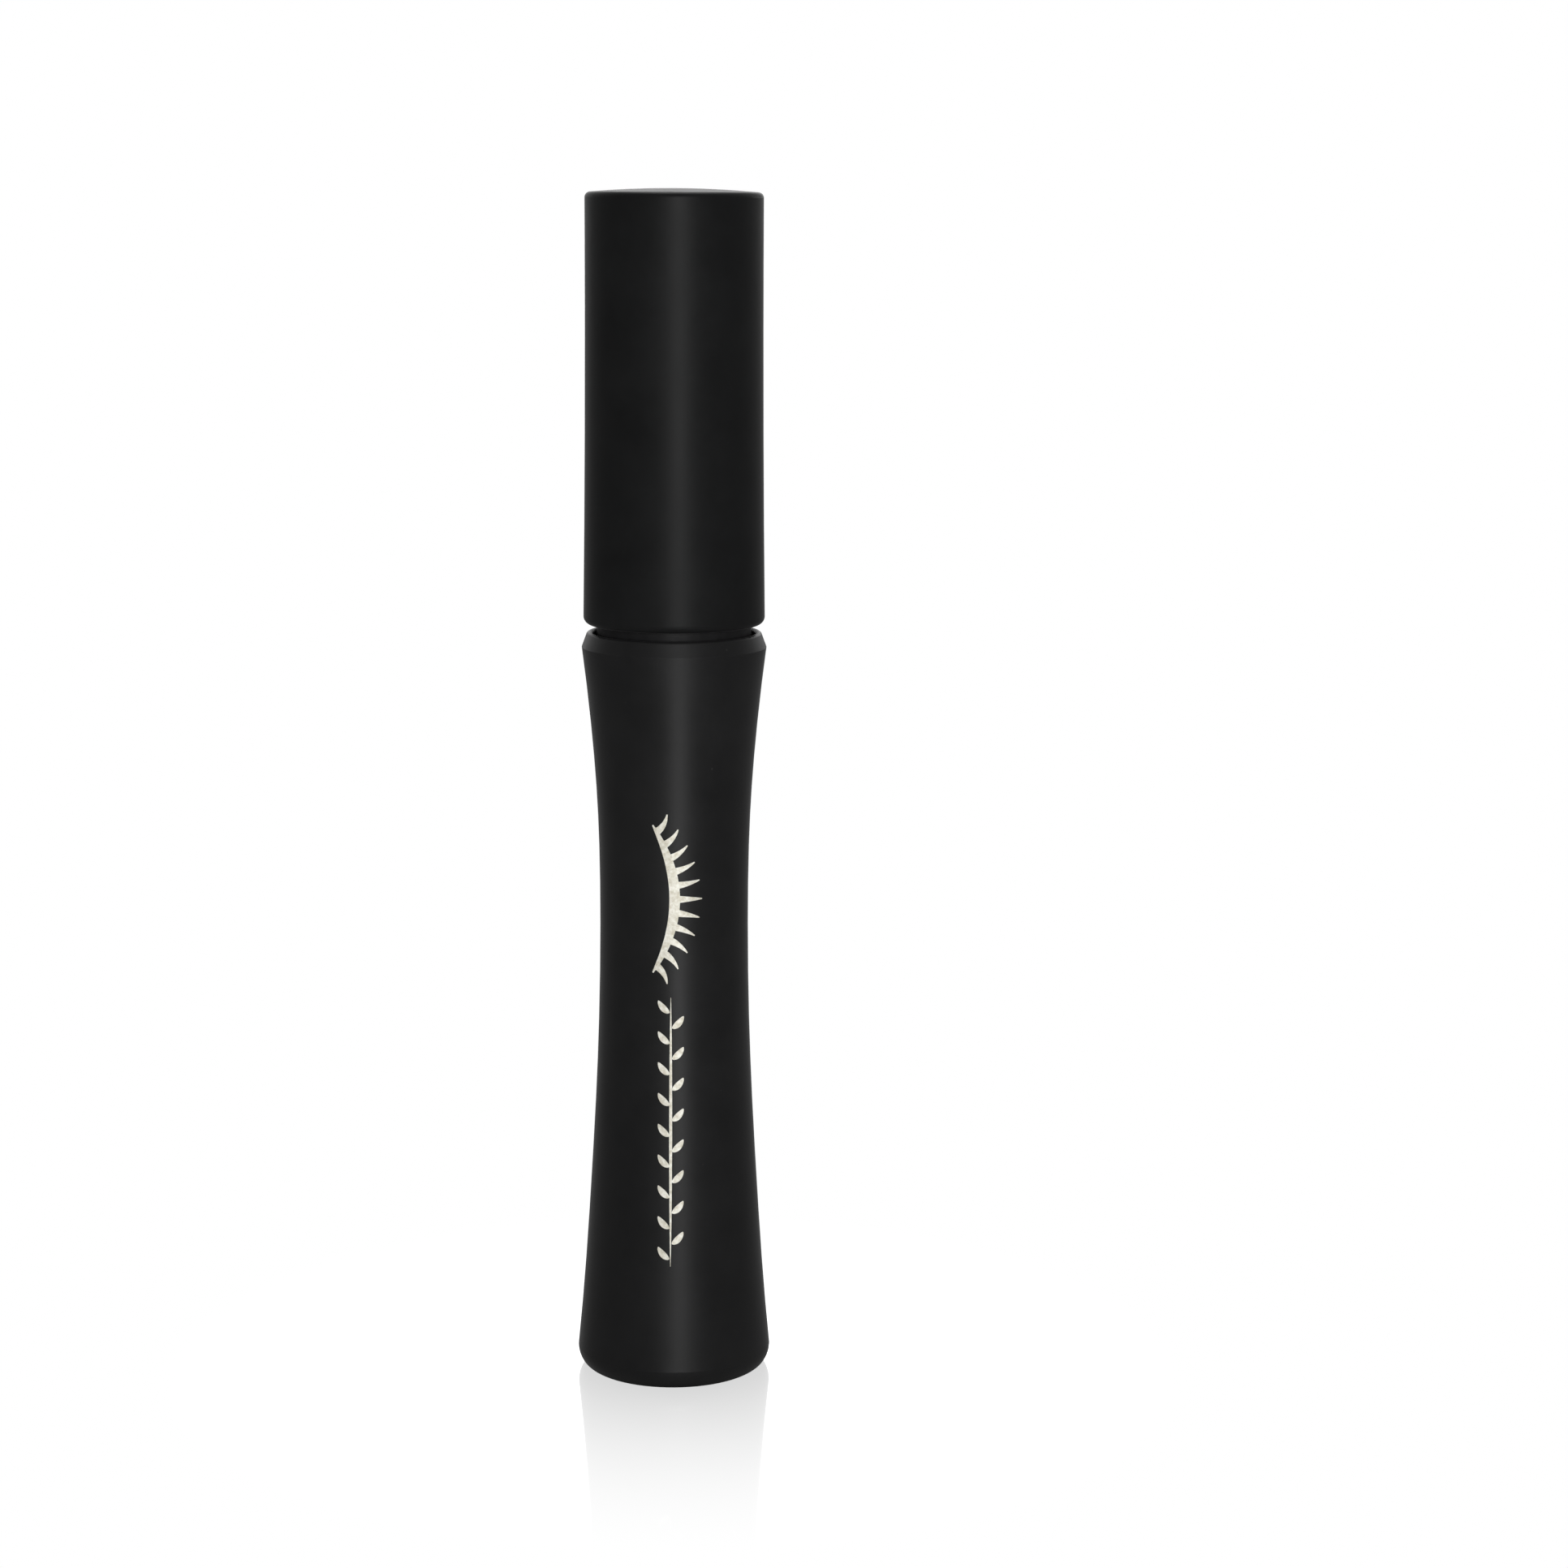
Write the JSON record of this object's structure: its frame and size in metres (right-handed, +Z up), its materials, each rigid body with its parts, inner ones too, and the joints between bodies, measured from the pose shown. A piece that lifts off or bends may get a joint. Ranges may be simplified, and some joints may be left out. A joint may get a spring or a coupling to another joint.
{
  "type": "mascara tube",
  "caption": "Hourglass mascara bottle with a screw cap that carries a wand and a curved twisted-wire brush, which draws out through a wiper in the neck.",
  "frame": {"origin": "centre of the flat base, on the surface the tube stands on", "axes": "+Z up along the tube's axis towards the cap's closed end; the brush bends towards +X; +Y completes a right-handed frame"},
  "size_m": [0.0206, 0.0206, 0.125],
  "materials": {
    "soft_touch_black": null,
    "vial_plastic": "satin black moulded plastic",
    "black_plastic": "fine matt black",
    "label_film": "plain printed film, blank",
    "wiper_plastic": "soft natural elastomer, satin",
    "mascara_black": "wet black cream",
    "seal_foam": "off-white foamed liner",
    "soft_touch_black_cap": "soft-touch matt black",
    "insert_plastic": "satin black moulded plastic",
    "rod_plastic": "satin black moulded plastic",
    "twisted_steel": "twisted wire, coated with formula",
    "nylon_black": "black nylon fibres"
  },
  "bodies": {
    "bottle": {"outer_barrel": "soft_touch_black", "inner_vial": "vial_plastic", "base_plug": "black_plastic", "base_label": "label_film", "wiper": "wiper_plastic", "mascara_paste": "mascara_black"},
    "seal": {"cap_seal": "seal_foam"},
    "applicator": {"cap_shell": "soft_touch_black_cap", "cap_insert": "insert_plastic", "wand_rod": "rod_plastic", "brush_wire": "twisted_steel", "brush_bristles": "nylon_black"}
  },
  "joints": [
    {"name": "withdraw", "type": "slide", "parent": "bottle", "child": "seal", "axis": [0, 0, 1], "range_m": [0, 0.095], "deforming": ["wiper", "mascara_paste", "brush_bristles"]},
    {"name": "unscrew", "type": "hinge", "parent": "seal", "child": "applicator", "pos_m": [0, 0, 0.1], "axis": [0, 0, 1], "range_deg": [0, 540]}
  ]
}
